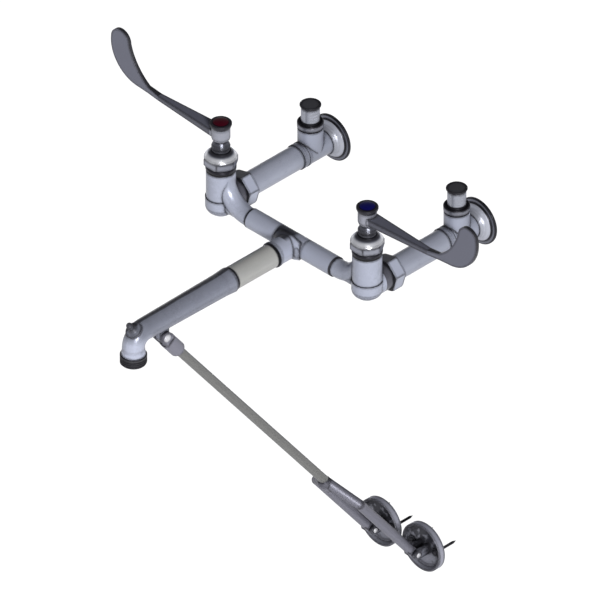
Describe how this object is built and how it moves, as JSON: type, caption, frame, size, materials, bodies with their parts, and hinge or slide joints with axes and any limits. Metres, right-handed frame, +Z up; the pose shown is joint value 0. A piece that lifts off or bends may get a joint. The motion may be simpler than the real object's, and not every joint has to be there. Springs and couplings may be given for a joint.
{
  "type": "service sink faucet",
  "caption": "Wall-mounted service faucet with wrist-blade handles, shut-off stops, a rigid hose-end spout with a pail hook, and a hinged wall brace.",
  "frame": {"origin": "on the wall face, midway between the two supply inlets, at their height", "axes": "+Y into the wall, +Z up, +X to the cold side (to the right for a person who faces the wall)"},
  "size_m": [0.5064, 0.4175, 0.5937],
  "materials": {
    "chrome_body": "satin",
    "handle_metal": "satin",
    "sleeve_metal": "satin",
    "rod_steel": "satin",
    "brace_iron": "satin",
    "dark_cap": "dark satin",
    "inner_brass": "machined",
    "disc_ceramic": "lapped",
    "seal_rubber": "matt",
    "index_red": "gloss",
    "index_blue": "gloss",
    "zinc_steel": "zinc plated"
  },
  "bodies": {
    "faucet": {"valve_body_hot": "chrome_body", "valve_body_cold": "chrome_body", "crossbar_hot": "chrome_body", "crossbar_cold": "chrome_body", "outlet_tee": "chrome_body", "spout_sleeve": "sleeve_metal", "spout": "chrome_body", "hose_nozzle": "dark_cap", "bonnet_hot": "chrome_body", "bonnet_cold": "chrome_body", "bonnet_washer_hot": "seal_rubber", "bonnet_washer_cold": "seal_rubber", "cartridge_hot": "inner_brass", "cartridge_cold": "inner_brass", "fixed_disc_hot": "disc_ceramic", "fixed_disc_cold": "disc_ceramic", "seat_seal_hot": "seal_rubber", "seat_seal_cold": "seal_rubber", "stem_packing_hot": "seal_rubber", "stem_packing_cold": "seal_rubber", "packing_nut_hot": "chrome_body", "packing_nut_cold": "chrome_body", "supply_arm_hot": "chrome_body", "supply_arm_cold": "chrome_body", "union_nut_hot": "chrome_body", "union_nut_cold": "chrome_body", "union_washer_hot": "seal_rubber", "union_washer_cold": "seal_rubber", "stop_body_hot": "chrome_body", "stop_body_cold": "chrome_body", "stop_bonnet_hot": "chrome_body", "stop_bonnet_cold": "chrome_body", "stop_cap_hot": "dark_cap", "stop_cap_cold": "dark_cap", "escutcheon_hot": "chrome_body", "escutcheon_cold": "chrome_body"},
    "handle_hot": {"handle_hot": "handle_metal", "spindle_hot": "inner_brass", "handle_screw_hot": "zinc_steel", "index_button_hot": "index_red", "turning_disc_hot": "disc_ceramic"},
    "stop_plug_hot": {"stop_plug_hot": "inner_brass"},
    "wall_flange_hot_side": {"flange_hot_side": "brace_iron", "flange_pin_hot_side": "zinc_steel", "wall_screws_hot_side": "zinc_steel"},
    "handle_cold": {"handle_cold": "handle_metal", "spindle_cold": "inner_brass", "handle_screw_cold": "zinc_steel", "index_button_cold": "index_blue", "turning_disc_cold": "disc_ceramic"},
    "stop_plug_cold": {"stop_plug_cold": "inner_brass"},
    "wall_flange_cold_side": {"flange_cold_side": "brace_iron", "flange_pin_cold_side": "zinc_steel", "wall_screws_cold_side": "zinc_steel"},
    "brace": {"brace_coupling": "brace_iron", "brace_pin": "zinc_steel", "brace_rod": "rod_steel", "brace_yoke": "brace_iron"}
  },
  "joints": [
    {"name": "handle_hot_turn", "type": "hinge", "parent": "faucet", "child": "handle_hot", "pos_m": [-0.1016, -0.1556, 0.08], "axis": [0, 0, 1], "range_deg": [0, 90]},
    {"name": "handle_cold_turn", "type": "hinge", "parent": "faucet", "child": "handle_cold", "pos_m": [0.1016, -0.1556, 0.08], "axis": [0, 0, -1], "range_deg": [0, 90]},
    {"name": "stop_plug_hot_turn", "type": "hinge", "parent": "faucet", "child": "stop_plug_hot", "pos_m": [-0.1016, -0.031, 0], "axis": [0, 0, 1], "range_deg": [0, 90]},
    {"name": "stop_plug_cold_turn", "type": "hinge", "parent": "faucet", "child": "stop_plug_cold", "pos_m": [0.1016, -0.031, 0], "axis": [0, 0, 1], "range_deg": [0, 90]},
    {"name": "brace_swing", "type": "hinge", "parent": "faucet", "child": "brace", "pos_m": [0, -0.3377, -0.0207], "axis": [1, 0, 0], "range_deg": [-60, 45]},
    {"name": "wall_flange_hot_side_tilt", "type": "hinge", "parent": "brace", "child": "wall_flange_hot_side", "pos_m": [-0.0302, -0.0182, -0.43], "axis": [1, 0, 0], "range_deg": [-40, 40]},
    {"name": "wall_flange_cold_side_tilt", "type": "hinge", "parent": "brace", "child": "wall_flange_cold_side", "pos_m": [0.0302, -0.0182, -0.43], "axis": [1, 0, 0], "range_deg": [-40, 40]}
  ]
}
